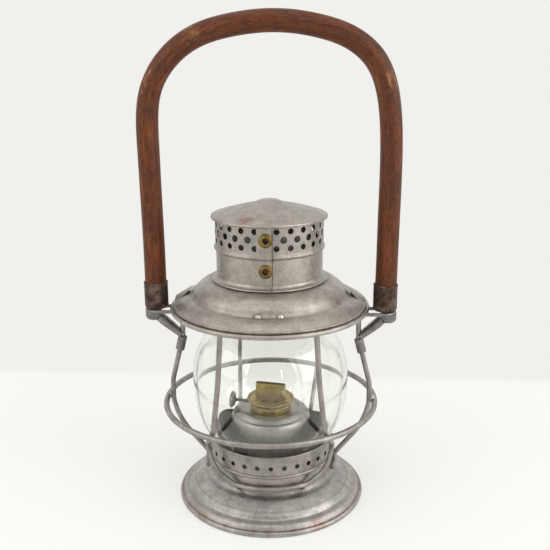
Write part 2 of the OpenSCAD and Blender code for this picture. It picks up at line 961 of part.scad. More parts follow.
module fount_tank() {
    color("#8f8c88")
        difference() {
            rotate_extrude()
                polygon(concat([[0, tank_z]], [[fount_r, tank_z]], smooth([[fount_r, 62], [fount_r - 0.1, 69.5],
                    [fount_r - 0.6, 72], [fount_r - 1.8, 74], [fount_r - 3.6, 75], [fount_r - 7, tank_top],
                    [fount_r - 9.4, tank_top - 0.3], [fount_r - 10.4, tank_top - 1.4],
                    [fount_r - 14, tank_top - 1.6]], 3),
                    [[0, tank_top - 1.6]]));
            rotate_extrude()
                polygon([[0, tank_z + 0.8], [fount_r - 0.8, tank_z + 0.8], [fount_r - 0.8, 69],
                    [fount_r - 2.4, 72.8], [fount_r - 4.6, 74], [fount_r - 8.6, 75.2], [0, 75.2]]);
            translate([0, 0, 70])
                cylinder(h = 20, r = burner_in + 0.9);
        }
}

module fount_base() {
    color("#8f8c88")
        rotate_extrude()
            union() {
                translate([fount_r + 0.02, tank_z - 1.02])
                    square([0.8, plate_z - 3 - gap - tank_z + 1.02]);
                translate([0, tank_z - 1.02])
                    square([fount_r + 0.81, 1]);
                translate([fount_r + 0.02, plate_z - 3 - gap - 0.8])
                    square([5.4, 0.8]);
            }
}

// leaf spring hanging from the fount plate beside the fount flange
module fount_spring() {
    r0 = fount_r + 5.42 + gap;
    color("#7f7a74")
        intersection() {
            rotate_extrude()
                union() {
                    translate([r0, plate_z - 13])
                        square([0.6, 12.98]);
                    translate([r0, plate_z - 0.62])
                        square([6, 0.6]);
                    translate([r0 + 0.9, plate_z - 13])
                        circle(r = 0.9);
                }
            translate([20, -5, 0])
                cube([40, 10, 60]);
        }
}

module left_spring() {
    mirror([1, 0, 0])
        fount_spring();
}

module right_spring() {
    fount_spring();
}

module burner_collar() {
    color("#a6924f")
        rotate_extrude()
            union() {
                translate([burner_in, tank_top - 6])
                    square([0.8, 8.28]);
                translate([burner_in, tank_top - 1.58])
                    square([3, 1.2]);
                translate([burner_in + 0.7, tank_top - 0.2])
                    circle(r = 0.7);
            }
}

// everything on the burner is turned with it
module on_burner() {
    rotate([0, 0, burner_turn])
        children();
}

module flat_oval(w, t, h) {
    union() {
        translate([-(w - t) / 2, -t / 2, 0])
            cube([w - t, t, h]);
        for (s = [-1, 1])
            translate([s * (w - t) / 2, 0, 0])
                cylinder(h = h, r = t / 2);
    }
}

// slots in bowl and deck for the tube, the shaft and the feed wheels
module burner_slots() {
    translate([0, 0, bowl_z - 5])
        flat_oval(tube_w + 0.04, tube_t + 0.04, 20);
    for (x = [-5, 5])
        translate([x - 2, -shaft_y - sprocket_r - 0.8, bowl_z - 5])
            cube([4, shaft_y + sprocket_r + 0.8, 20]);
    for (x = [-9.4, 9.4])
        translate([x - 1.32, -shaft_y - 2.4, bowl_z - 5])
            cube([2.64, 5, 11]);
    translate([-30, -shaft_y, wheel_z])
        rotate([0, 90, 0])
            cylinder(h = 43, r = shaft_r + fit);
}

module burner_bowl() {
    color("#a6924f")
        on_burner()
            difference() {
                rotate_extrude()
                    union() {
                        strip_outline([[0, bowl_z], [15.6, bowl_z], [16.8, bowl_z + 0.7], [17.6, bowl_z + 2],
                            [18.3, bowl_z + 3.4], [19.3, bowl_z + 4.8], [19.7, bowl_z + 5.8]], 0.6);
                        translate([16.6, tank_top - 1.2])
                            square([0.6, bowl_z + 1 - tank_top + 1.2]);
                        translate([17.1, bowl_z + 1.1])
                            circle(r = 0.7);
                        translate([19.5, bowl_z + 5.8])
                            circle(r = 0.65);
                    }
                burner_slots();
            }
}

module burner_deck() {
    color("#b09a58")
        on_burner()
            difference() {
                rotate_extrude()
                    strip_outline([[0, deck_z], [11, deck_z], [15.5, deck_z + 0.3], [17.9, deck_z + 0.7]], 0.5);
                burner_slots();
            }
}

// flat brass tube with two windows for the feed wheels and two shaft bearings on its front wall
module wick_tube() {
    z0 = tank_top - 12;
    color("#a6924f")
        on_burner()
            difference() {
                union() {
                    translate([0, 0, z0])
                        flat_oval(tube_w, tube_t, tube_top - z0);
                    for (x = [-9.4, 9.4])
                        translate([x - 1.3, -shaft_y - 2.3, wheel_z - 2.2])
                            cube([2.6, shaft_y + 2.3 - tube_t / 2 + 0.2, 4.2]);
                }
                translate([0, 0, z0 - 1])
                    flat_oval(tube_w - 2 * tube_wall, tube_t - 2 * tube_wall, tube_top - z0 + 2);
                for (x = [-5, 5])
                    translate([x - 1.3, -tube_t / 2 - 1, wheel_z - sprocket_r - 0.3])
                        cube([2.6, tube_wall + 1.2, 2 * sprocket_r + 0.6]);
                translate([-20, -shaft_y, wheel_z])
                    rotate([0, 90, 0])
                        cylinder(h = 40, r = shaft_r + fit);
            }
}

module wick() {
    color("#d8cfb8")
        on_burner()
            translate([-wick_w / 2, -wick_t / 2, 30])
                cube([wick_w, wick_t, tube_top - 2 - 30]);
}

module wick_shaft() {
    color("#8f8c88")
        on_burner()
            translate([-wheel_x - 3.8, -shaft_y, wheel_z])
                rotate([0, 90, 0])
                    cylinder(h = wheel_x + 15.6, r = shaft_r);
}

module wick_wheel() {
    color("#8f8c88")
        on_burner()
            translate([-wheel_x, -shaft_y, wheel_z])
                rotate([0, -90, 0])
                    rotate_extrude()
                        union() {
                            strip_outline([[shaft_r + 0.01, 1], [wheel_r - 2.8, 0.8], [wheel_r - 1.2, 1.4],
                                [wheel_r - 0.3, 3]], 0.6);
                            translate([wheel_r - 0.6, 3.2])
                                circle(r = 0.6);
                            translate([shaft_r + 0.01, 0])
                                square([1.2, 3.2]);
                        }
}

module feed_wheels() {
    n = 10;
    color("#8f8c88")
        on_burner()
            for (x = [-5, 5])
                translate([x - 0.9, -shaft_y, wheel_z])
                    rotate([0, 90, 0])
                        difference() {
                            linear_extrude(height = 1.8)
                                polygon([for (i = [0:2 * n - 1]) turned(i * 180 / n,
                                    i % 2 == 0 ? sprocket_r : sprocket_r - 0.7)]);
                            translate([0, 0, -1])
                                cylinder(h = 4, r = shaft_r + 0.01);
                        }
}

bell_base();
foot_wire();
vent_collar();
front_tab();
rear_tab();
front_guard();
rear_guard();
left_guard();
right_guard();
guard_ring();
top_ring();
globe_seat();
globe();
fount_plate();
left_shield();
right_shield();
left_ear();
right_ear();
left_brace();
right_brace();
left_ferrule();
right_ferrule();
bail();
left_screw();
right_screw();
frame_hinge();
hinge_pin();
dome();
globe_keeper();
chimney_foot();
chimney();
seam_strip();
upper_eyelet();
lower_eyelet();
flue_tube();
chimney_cap();
latch_spring();
left_rivet();
right_rivet();
lid_hinge();
fount_tank();
fount_base();
left_spring();
right_spring();
burner_collar();
burner_bowl();
burner_deck();
wick_tube();
wick();
wick_shaft();
wick_wheel();
feed_wheels();
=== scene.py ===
import json
import math

import bpy
import numpy as np
from mathutils import Matrix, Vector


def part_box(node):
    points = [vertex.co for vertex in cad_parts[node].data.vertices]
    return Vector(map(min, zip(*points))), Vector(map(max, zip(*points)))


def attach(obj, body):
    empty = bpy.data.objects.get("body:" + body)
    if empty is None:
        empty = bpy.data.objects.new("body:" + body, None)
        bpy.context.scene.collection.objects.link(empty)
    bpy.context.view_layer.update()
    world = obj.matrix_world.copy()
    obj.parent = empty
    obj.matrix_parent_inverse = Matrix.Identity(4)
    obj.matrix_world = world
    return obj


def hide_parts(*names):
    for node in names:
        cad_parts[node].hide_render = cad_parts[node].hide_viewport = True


# Looks of a switchman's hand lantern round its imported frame. Metres, Z up, the latch side is -Y.
MM = 0.001
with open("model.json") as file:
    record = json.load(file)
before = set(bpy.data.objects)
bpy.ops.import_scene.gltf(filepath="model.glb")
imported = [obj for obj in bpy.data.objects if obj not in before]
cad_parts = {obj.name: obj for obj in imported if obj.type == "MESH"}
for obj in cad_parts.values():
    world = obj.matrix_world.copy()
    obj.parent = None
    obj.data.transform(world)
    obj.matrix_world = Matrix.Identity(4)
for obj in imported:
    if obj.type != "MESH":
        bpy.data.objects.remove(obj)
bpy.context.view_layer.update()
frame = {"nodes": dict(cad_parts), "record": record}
nodes = frame["nodes"]


# Material helpers

def linear(hex_colour):
    """An sRGB hex colour as linear RGBA, by the sRGB curve on each channel."""
    s = np.array([int(hex_colour[i:i + 2], 16) / 255 for i in (1, 3, 5)])
    return (*np.where(s <= 0.04045, s / 12.92, ((s + 0.055) / 1.055) ** 2.4), 1.0)


def add(tree, kind, inputs=None, ramp=None, **settings):
    """Adds one shader node: settings go on the node, inputs are constants or sockets to link, ramp is a list of
    (place, hex colour)."""
    node = tree.nodes.new("ShaderNode" + kind)
    for key, value in settings.items():
        setattr(node, key, value)
    for key, value in (inputs or {}).items():
        if isinstance(value, bpy.types.NodeSocket):
            tree.links.new(value, node.inputs[key])
        else:
            node.inputs[key].default_value = value
    if ramp:
        stops = node.color_ramp.elements
        for place, _ in ramp[2:]:
            stops.new(place)
        for stop, (place, colour) in zip(stops, ramp):
            stop.position = place
            stop.color = linear(colour)
    return node


def start(name):
    """A new node material: its tree, its Object coordinates in metres, and the radius from the axis and the height
    in them."""
    material = bpy.data.materials.new(name)
    material.use_nodes = True
    tree = material.node_tree
    tree.nodes.clear()
    place = add(tree, "TexCoord").outputs["Object"]
    level = add(tree, "VectorMath", {0: place, 1: (1, 1, 0)}, operation="MULTIPLY").outputs[0]
    radius = add(tree, "VectorMath", {0: level}, operation="LENGTH").outputs["Value"]
    height = add(tree, "SeparateXYZ", {0: place}).outputs["Z"]
    return material, tree, place, radius, height


def speckle(tree, place, size, detail=3.0, rough=0.55, low=0.0, high=1.0, stretch=None):
    """Noise with lumps of about size metres, its middle range spread to low..high. stretch scales the coordinates."""
    if stretch:
        place = add(tree, "VectorMath", {0: place, 1: stretch}, operation="MULTIPLY").outputs[0]
    noise = add(tree, "TexNoise", {"Vector": place, "Scale": 1 / size, "Detail": detail, "Roughness": rough})
    spread = add(tree, "MapRange", {0: noise.outputs[0], 1: 0.3, 2: 0.7, 3: low, 4: high})
    return spread.outputs[0]


def band(tree, value, middle, half_width):
    """1 where value is middle, falling smoothly to 0 at half_width to each side."""
    off = add(tree, "Math", {0: value, 1: middle}, operation="SUBTRACT").outputs[0]
    off = add(tree, "Math", {0: off}, operation="ABSOLUTE").outputs[0]
    return add(tree, "MapRange", {0: off, 1: 0.0, 2: half_width, 3: 1.0, 4: 0.0},
               interpolation_type="SMOOTHSTEP").outputs[0]


def times(tree, *values):
    """Product of masks."""
    total = values[0]
    for value in values[1:]:
        total = add(tree, "Math", {0: total, 1: value}, operation="MULTIPLY").outputs[0]
    return total


def over(tree, mask, below, above):
    """The colour above laid over below by a mask."""
    above = linear(above) if isinstance(above, str) else above
    below = linear(below) if isinstance(below, str) else below
    return add(tree, "Mix", {0: mask, 6: below, 7: above}, data_type="RGBA").outputs[2]


def bumped(tree, *layers):
    """Chains bumps: each layer is (height socket, depth in metres)."""
    normal = None
    for height, depth in layers:
        inputs = {"Height": height, "Strength": 1.0, "Distance": depth}
        if normal:
            inputs["Normal"] = normal
        normal = add(tree, "Bump", inputs).outputs[0]
    return normal


def finish_with(tree, **inputs):
    """Ends a material in one Principled shader, whose inputs are named with _ for each space."""
    named = {key.replace("_", " "): value for key, value in inputs.items()}
    shader = add(tree, "BsdfPrincipled", named)
    add(tree, "OutputMaterial", {"Surface": shader.outputs[0]})


# Finishes

def tinplate(name, tones, marks=(), roughness=(0.34, 0.54), pits=0.035 * MM, metal=0.97):
    """Hot-dipped tinplate gone grey: metal under a thin dull oxide in clouds 11 mm across, mottled 2.6 mm across,
    with dark and pale specks 1 mm across, paler wiped patches and shallow pits. tones are its dark, middle and pale
    grey. marks are (mask maker, hex colour, share) of dirt, rust and painted shade at known places."""
    material, tree, place, radius, height = start(name)
    clouds = speckle(tree, place, 11 * MM, 5, 0.65)
    colour = add(tree, "ValToRGB", {0: clouds}, ramp=list(zip((0.05, 0.5, 0.95), tones))).outputs[0]
    mottle = speckle(tree, place, 2.6 * MM, 4, 0.65, 0.0, 1.0)
    colour = over(tree, times(tree, mottle, 0.25), colour, tones[0])
    specks = speckle(tree, place, 1.1 * MM, 3, 0.7, -0.25, 0.44)
    colour = over(tree, specks, colour, "#5f5a52")
    pale = speckle(tree, place, 1.0 * MM, 2, 0.6, -0.5, 0.35)
    colour = over(tree, pale, colour, "#d6d1c8")
    wiped = speckle(tree, place, 5 * MM, 3, 0.5, 0.0, 0.22, stretch=(1, 1, 0.35))
    colour = over(tree, wiped, colour, "#c4beb5")
    for mask_maker, shade, share in marks:
        mask = times(tree, mask_maker(tree, place, radius, height), share)
        colour = over(tree, mask, colour, shade)
    rough = speckle(tree, place, 4 * MM, 4, 0.6, *roughness)
    normal = bumped(tree, (clouds, 0.20 * MM), (mottle, 0.035 * MM), (speckle(tree, place, 1.3 * MM, 4), pits))
    finish_with(tree, Base_Color=colour, Metallic=metal, Roughness=rough, Normal=normal)
    return material


def stain_and_shade_ring(middle, half_width, across="height"):
    """A darker ring at a height or a radius from the axis, broken up along its length. On the bell's rim it is rust,
    under the hoop band and along the dome's brim it is painted shade, and elsewhere a plain darker band.
    """
    def mask(tree, place, radius, height):
        ring = band(tree, height if across == "height" else radius, middle, half_width)
        return times(tree, ring, speckle(tree, place, 6 * MM, 4, 0.65, 0.25, 1.0))
    return mask


def painted_seam_shade(x, half_width):
    """A painted shade line up the front at x, where the edge of the lap stands over the sheet under it."""
    def mask(tree, place, radius, height):
        parts = add(tree, "SeparateXYZ", {0: place})
        front = add(tree, "Math", {0: parts.outputs["Y"], 1: 0.0}, operation="LESS_THAN").outputs[0]
        return times(tree, band(tree, parts.outputs["X"], x, half_width), front,
                     speckle(tree, place, 5 * MM, 3, 0.6, 0.55, 1.1))
    return mask


def stain_and_shade_patch(x, y, z, size):
    """A ragged patch about size metres across, round a point of the surface: rust stains on the bell and the cap,
    painted shade round the dome's rivets.
    """
    def mask(tree, place, radius, height):
        away = add(tree, "VectorMath", {0: place, 1: (x, y, z)}, operation="SUBTRACT").outputs[0]
        away = add(tree, "VectorMath", {0: away, 1: (1.0, 1.0, 1.6)}, operation="MULTIPLY").outputs[0]
        away = add(tree, "VectorMath", {0: away}, operation="LENGTH").outputs["Value"]
        inside = add(tree, "MapRange", {0: away, 1: size * 0.15, 2: size * 0.5, 3: 1.0, 4: 0.0}).outputs[0]
        return times(tree, inside, speckle(tree, place, 3 * MM, 4, 0.7, 0.1, 1.3))
    return mask


def rusted_steel(name, dark, brown, bare, share=0.5):
    """Bare forged steel with old dark rust: brown bloom 7 mm across over grey metal, bright where it is rubbed. share
    is how far the rust takes away the gleam of metal at its thickest."""
    material, tree, place, radius, height = start(name)
    bloom = speckle(tree, place, 7 * MM, 5, 0.7)
    colour = add(tree, "ValToRGB", {0: bloom}, ramp=[(0.15, dark), (0.55, brown), (0.95, bare)]).outputs[0]
    colour = over(tree, speckle(tree, place, 1.2 * MM, 3, 0.6, 0, 0.4), colour, dark)
    metal = speckle(tree, place, 5 * MM, 4, 0.6, 1 - share, 1.0)
    rough = speckle(tree, place, 3 * MM, 3, 0.5, 0.42, 0.72)
    normal = bumped(tree, (bloom, 0.12 * MM), (speckle(tree, place, 1.0 * MM, 3), 0.05 * MM))
    finish_with(tree, Base_Color=colour, Metallic=metal, Roughness=rough, Normal=normal)
    return material


def aged_brass(name, tones, grime_share=0.5):
    """Sheet brass gone brown: yellow metal under olive tarnish in patches 5 mm across, with grime in fine specks and
    soft dents."""
    material, tree, place, radius, height = start(name)
    stain = speckle(tree, place, 5 * MM, 5, 0.65)
    colour = add(tree, "ValToRGB", {0: stain}, ramp=list(zip((0.1, 0.5, 0.9), tones))).outputs[0]
    colour = over(tree, speckle(tree, place, 0.8 * MM, 3, 0.6, 0, grime_share), colour, "#5e5230")
    rough = speckle(tree, place, 3 * MM, 3, 0.5, 0.3, 0.52)
    normal = bumped(tree, (stain, 0.08 * MM), (speckle(tree, place, 0.7 * MM, 2), 0.02 * MM))
    finish_with(tree, Base_Color=colour, Metallic=1.0, Roughness=rough, Normal=normal)
    return material


def clear_glass(name):
    """Pressed soda-lime glass: clear, a trace of yellow-green in the thick of it, with the slow waves of an old
    mould about 26 mm apart. Its shadow rays pass straight through, so the lamps light what stands inside it."""
    material, tree, place, radius, height = start(name)
    waves = speckle(tree, place, 26 * MM, 1, 0.3)
    normal = bumped(tree, (waves, 0.03 * MM))
    glass = add(tree, "BsdfPrincipled", {"Base Color": linear("#fdfefc"), "Roughness": 0.01, "IOR": 1.50,
                                         "Transmission Weight": 1.0, "Normal": normal})
    open_way = add(tree, "BsdfTransparent", {"Color": linear("#f6f7f4")})
    lamp_ray = add(tree, "LightPath").outputs["Is Shadow Ray"]
    both = add(tree, "MixShader", {0: lamp_ray, 1: glass.outputs[0], 2: open_way.outputs[0]})
    tint = add(tree, "VolumeAbsorption", {"Color": linear("#dbe2c6"), "Density": 8.0})
    add(tree, "OutputMaterial", {"Surface": both.outputs[0], "Volume": tint.outputs[0]})
    return material


def old_varnished_wood(name):
    """Steam-bent hickory under dark red-brown varnish: long grain 0.8 mm wide along the rod, darker streaks 4 mm wide
    and blotches, a tan where hands and hooks rub it which on the shoulders also stands as a painted sheen, and a
    soft shine. The attribute grain is the rod laid out straight, and the other attribute is how much each place is
    rubbed and painted with sheen."""
    material, tree, place, radius, height = start(name)
    laid = add(tree, "Attribute", attribute_name="grain").outputs["Vector"]
    wear_and_sheen = add(tree, "Attribute", attribute_name="wear_and_sheen").outputs["Fac"]
    fibres = speckle(tree, laid, 0.8 * MM, 3, 0.65, stretch=(1, 1, 0.09))
    streaks = speckle(tree, laid, 4.0 * MM, 4, 0.6, stretch=(1, 1, 0.14))
    blotches = speckle(tree, laid, 15 * MM, 4, 0.65, stretch=(1, 1, 0.5))
    colour = add(tree, "ValToRGB", {0: streaks},
                 ramp=[(0.0, "#2b120a"), (0.5, "#50240f"), (1.0, "#7a3c17")]).outputs[0]
    colour = over(tree, times(tree, blotches, 0.8), colour, "#2c1710")
    colour = over(tree, times(tree, fibres, 0.35), colour, "#8a4d22")
    pores = speckle(tree, laid, 1.2 * MM, 3, 0.7, -0.6, 0.7, stretch=(1, 1, 0.3))
    colour = over(tree, pores, colour, "#170d0a")
    edge = speckle(tree, laid, 3.0 * MM, 5, 0.75, 0.0, 1.0, stretch=(1, 1, 0.3))
    ragged = add(tree, "Math", {0: wear_and_sheen, 1: edge}, operation="ADD").outputs[0]
    tan_of_wear_and_sheen = add(tree, "MapRange", {0: ragged, 1: 1.0, 2: 1.5}).outputs[0]
    # tan where the wood is rubbed, which on the shoulders also stands as a painted sheen
    colour = over(tree, times(tree, tan_of_wear_and_sheen, 0.7), colour, "#9a744e")
    rough = speckle(tree, laid, 8 * MM, 3, 0.5, 0.36, 0.58, stretch=(1, 1, 0.4))
    normal = bumped(tree, (blotches, 0.25 * MM), (streaks, 0.10 * MM), (fibres, 0.05 * MM))
    finish_with(tree, Base_Color=colour, Roughness=rough, Normal=normal, Coat_Weight=0.06, Coat_Roughness=0.28,
                Specular_IOR_Level=0.22)
    return material


def cotton_tape(name):
    """Woven cotton wick: warp threads crossed by picks, oil-stained, charred black in its top 2 mm. The threads are
    drawn 1.6 and 1.8 mm apart, twice as coarse as real ones, so that they show. A wave texture's bands lie 0.314 over
    its scale apart. The burner stands turned by 11 degrees, and the weave with it."""
    material, tree, place, radius, height = start(name)
    burner_turn = math.radians(11)
    warp_size, pick_size = 5.12 * MM, 5.76 * MM
    turned = add(tree, "Mapping", {"Vector": place, "Rotation": (0, 0, burner_turn)}).outputs[0]
    warp = add(tree, "TexWave", {"Vector": turned, "Scale": 1 / warp_size, "Distortion": 1.0},
               bands_direction="X").outputs["Fac"]
    picks = add(tree, "TexWave", {"Vector": turned, "Scale": 1 / pick_size, "Distortion": 1.5},
                bands_direction="Z").outputs["Fac"]
    weave = times(tree, warp, picks)
    colour = over(tree, weave, "#8f8262", "#cbbf9f")
    wick_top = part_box("wick")[1].z
    burnt = add(tree, "MapRange", {0: height, 1: wick_top - 2.5 * MM, 2: wick_top - 0.6 * MM}).outputs[0]
    colour = over(tree, burnt, colour, "#1d1a17")
    normal = bumped(tree, (weave, 0.2 * MM))
    finish_with(tree, Base_Color=colour, Roughness=0.9, Sheen_Weight=0.2, Normal=normal)
    return material


# New pieces

def skin(name, points, body, material, round_rows=False, cap_ends=False, fields=None):
    """A mesh on a grid of points (rows, columns, 3): each four neighbours make a face, and each row is a closed ring.
    round_rows joins the last row to the first, and cap_ends closes the first and last row with a fan. fields are
    point attributes of the grid. The piece rides on the body and carries the material."""
    rows, columns = points.shape[:2]
    i = np.arange(rows if round_rows else rows - 1)
    j = np.arange(columns)
    a = (i[:, None] * columns + j).ravel()
    b = (i[:, None] * columns + (j + 1) % columns).ravel()
    c = ((i[:, None] + 1) % rows * columns + (j + 1) % columns).ravel()
    d = ((i[:, None] + 1) % rows * columns + j).ravel()
    faces = np.stack([a, b, c, d], 1).tolist()
    vertices = points.reshape(-1, 3)
    if cap_ends:
        middles = np.stack([points[0].mean(0), points[-1].mean(0)])
        vertices = np.concatenate([vertices, middles])
        first, last, ring = rows * columns, (rows - 1) * columns, np.arange(columns)
        faces += np.stack([(ring + 1) % columns, ring, np.full(columns, first)], 1).tolist()
        faces += np.stack([last + ring, last + (ring + 1) % columns, np.full(columns, first + 1)], 1).tolist()
    mesh = bpy.data.meshes.new(name)
    mesh.from_pydata(vertices.tolist(), [], faces)
    mesh.polygons.foreach_set("use_smooth", np.ones(len(mesh.polygons), bool))
    for field, values in (fields or {}).items():
        values = np.asarray(values, np.float32)
        flat = values.reshape(rows * columns, -1)
        if cap_ends:
            flat = np.concatenate([flat, flat[:1], flat[-1:]])
        kind, key = ("FLOAT_VECTOR", "vector") if flat.shape[1] == 3 else ("FLOAT", "value")
        mesh.attributes.new(field, kind, "POINT").data.foreach_set(key, flat.ravel())
    mesh.materials.append(material)
    piece = bpy.data.objects.new(name, mesh)
    bpy.context.scene.collection.objects.link(piece)
    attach(piece, body)
    return piece


def even(path, step):
    """The path with its points moved to equal steps along it, and how far along each one lies."""
    far = np.concatenate([[0], np.cumsum(np.linalg.norm(np.diff(path, axis=0), axis=1))])
    want = np.linspace(0, far[-1], int(far[-1] / step) + 1)
    return np.stack([np.interp(want, far, path[:, k]) for k in range(path.shape[1])], 1), want


def spline(points, steps):
    """A smooth curve through the points with steps parts between each two: cubic pieces over the chord length whose
    slope and bend run on through each point, and whose bend is nought at both ends."""
    p = np.array(points, float)
    t = np.concatenate([[0], np.cumsum(np.linalg.norm(np.diff(p, axis=0), axis=1))])
    h = np.diff(t)
    n = len(p)
    system = np.diag(np.concatenate([[1], 2 * (h[:-1] + h[1:]), [1]]))
    system[np.arange(1, n - 1), np.arange(n - 2)] = h[:-1]
    system[np.arange(1, n - 1), np.arange(2, n)] = h[1:]
    slopes = np.diff(p, axis=0) / h[:, None]
    ends = np.zeros((1, 2))
    turns = np.linalg.solve(system, np.concatenate([ends, 6 * np.diff(slopes, axis=0), ends]))
    k = np.repeat(np.arange(n - 1), steps)
    f = np.tile(np.arange(steps) / steps, n - 1) * h[k]
    k, f, b = k, f[:, None], h[k][:, None]
    first = slopes[k] - b * (2 * turns[k] + turns[k + 1]) / 6
    third = (turns[k + 1] - turns[k]) / (6 * b)
    curve = p[k] + f * first + f ** 2 * turns[k] / 2 + f ** 3 * third
    return np.concatenate([curve, p[-1:]])


def clear_globe(material):
    """The pressed globe as one surface of revolution. Its section is the outer curve from foot to mouth, half a
    circle over the mouth, the same curve a wall's thickness further in, and half a circle under the foot. The outline
    is radius and height in mm, scaled to the CAD globe's belly and height."""
    low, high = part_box("globe")
    tall, belly = high.z - low.z, high.x
    wall, columns = 3 * MM, 192
    half = wall / 2
    outline = np.array([(50.5, 1.5), (50.5, 2.6), (51.0, 5.2), (53.0, 8.8), (57.0, 15), (61.0, 24), (64.3, 38),
                        (65.7, 57), (64.6, 70), (61.8, 80.5), (57.6, 89.5), (52.6, 97), (48.2, 103), (45.7, 108.5),
                        (45, 113), (45, 118.2)]) * MM
    outline[:, 0] *= belly / outline[:, 0].max()
    outline[-1, 1] = tall - half
    outer, _ = even(spline(outline, 12), 0.9 * MM)
    ahead = np.gradient(outer, axis=0)
    ahead /= np.linalg.norm(ahead, axis=1)[:, None]
    inner = outer + wall * np.stack([-ahead[:, 1], ahead[:, 0]], 1)
    turn = np.linspace(0, math.pi, 9)[1:-1]
    mouth = np.stack([outer[-1, 0] - half + half * np.cos(turn), outer[-1, 1] + half * np.sin(turn)], 1)
    foot = np.stack([outer[0, 0] - half - half * np.cos(turn), outer[0, 1] - half * np.sin(turn)], 1)
    section = np.concatenate([outer, mouth, inner[::-1], foot])
    around = np.linspace(0, 2 * np.pi, columns, endpoint=False)
    r = section[:, None, 0]
    height = np.broadcast_to(section[:, None, 1] + low.z, (len(section), columns))
    points = np.stack([r * np.cos(around), r * np.sin(around), height], 2)
    piece = skin("clear_globe", points, "frame", material, round_rows=True)
    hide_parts("globe")


def bail_rod(material):
    """The bent rod: a circle carried along a smooth curve through the places of its centre line (x and height in mm),
    with slow swells of its radius, one wave and a slight twist every fifth of its length, and flats rubbed where it
    lies and hangs. Years of hanging have set it a little to the left. A flat is (place along the rod, direction round
    it, reach along it, distance from the centre as a share of the radius), and fades to both ends as a bell curve."""
    low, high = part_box("bail")
    thick = high.y
    half = high.x - thick
    crest, socket, swell_share = 396 * MM, 24 * MM, 0.012
    centre = np.array([(95.3, 170), (95.6, 190), (96.0, 225), (96.4, 262), (96.5, 292), (95.6, 318), (92.0, 344),
                       (83.0, 366), (67.0, 381), (40.0, 391.5), (6.0, 396), (-28.0, 393), (-57.0, 384.2),
                       (-79.3, 367), (-92.7, 344), (-96.1, 322), (-96.2, 296), (-95.8, 262), (-95.4, 225),
                       (-95.3, 190), (-95.3, 170)]) * MM
    centre[:, 0] *= half / centre[0, 0]
    centre[:, 1] += high.z - thick - crest
    centre[[0, -1], 1] = low.z
    path, along = even(spline(centre, 10), 1.2 * MM)
    path[:, 1] = np.minimum(path[:, 1], high.z - thick)
    ahead = np.gradient(path, axis=0)
    ahead /= np.linalg.norm(ahead, axis=1)[:, None]
    out = np.stack([-ahead[:, 1], ahead[:, 0]], 1)
    around = np.linspace(0, 2 * np.pi, 64, endpoint=False)
    whole = along[-1]
    s, u = along[:, None] / whole, around[None, :]
    free = np.clip(np.minimum(s, 1 - s) * whole / socket - 1, 0, 1)
    swell = 1 - swell_share * free * (0.5 + 0.5 * np.sin(2 * np.pi * (5 * s + 0.15 * np.sin(u + 9 * s))))
    r = thick * swell
    flats = ((0.685, 2.9, 0.030, 0.95), (0.315, 2.7, 0.022, 0.965), (0.60, 2.4, 0.015, 0.975))
    # The rubbed flats also set where the wood is painted tan: wear there, and on the shoulders a painted sheen too.
    wear_and_sheen = 0.06 * np.ones_like(r)
    for place, side, reach, depth in flats:
        near = np.exp(-((s - place) / reach) ** 2)
        cut = thick * depth / np.maximum(np.cos(u - side), 0.3)
        r = r - near * np.maximum(r - cut, 0)
        wear_and_sheen = wear_and_sheen + near * 0.55 * np.clip(np.cos(u - side) * 1.6, 0, 1)
    x = path[:, None, 0] + out[:, None, 0] * np.cos(u) * r
    z = path[:, None, 1] + out[:, None, 1] * np.cos(u) * r
    y = -np.sin(u) * r
    laid = np.stack([np.cos(u) * r, np.sin(u) * r, np.broadcast_to(along[:, None], r.shape)], 2)
    piece = skin("bail_rod", np.stack([x, y, z], 2), "frame", material, cap_ends=True,
                 fields={"grain": laid, "wear_and_sheen": wear_and_sheen})
    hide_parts("bail")


def solder_lump(name, centre, size, seed):
    """A lump of solder: an egg whose radius swells and sinks by a few slow waves round and along it, moved on by
    seed. size is its half width each way, and it is capped just short of both poles."""
    pole = 0.12
    polar = np.linspace(math.pi - pole, pole, 20)[:, None]
    around = np.linspace(0, 2 * np.pi, 28, endpoint=False)[None, :]
    swell = 1 + 0.09 * np.sin(3 * around + seed) * np.sin(polar) ** 2 + 0.07 * np.sin(4 * polar + 2 * seed + around)
    egg = np.stack([np.sin(polar) * np.cos(around), np.sin(polar) * np.sin(around),
                    np.cos(polar) * np.ones_like(around)], 2)
    points = np.array(centre) + egg * swell[:, :, None] * np.array(size)
    skin(name, points, "frame", finishes["guard wire"], cap_ends=True)


def guard_solder():
    """Solder where each leg of the guards crosses the inside of the guard ring. A leg is (name, direction round the
    lantern, half width in mm, lift in mm), and those of the two U guards lie 28.5 degrees off the middle."""
    low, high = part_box("guard_ring")
    wire = (high.z - low.z) / 2
    ring, level = high.x - wire, (high.z + low.z) / 2
    front, rear, aside = -math.pi / 2, math.pi / 2, 0.497
    legs = (("left", -math.pi, 2.9, 1.6), ("right", 0.0, 3.0, 1.4),
            ("front_left", front - aside, 1.6, 0.0), ("front_right", front + aside, 1.6, 0.0),
            ("rear_left", rear + aside, 1.8, 0.0), ("rear_right", rear - aside, 1.8, 0.0))
    reach = ring - wire * 0.95
    for k, (name, angle, size, lift) in enumerate(legs):
        solder_lump("solder_" + name, (reach * math.cos(angle), reach * math.sin(angle), level + lift * MM),
                    (size * MM, size * 1.15 * MM, size * 1.2 * MM), 1.7 * k)
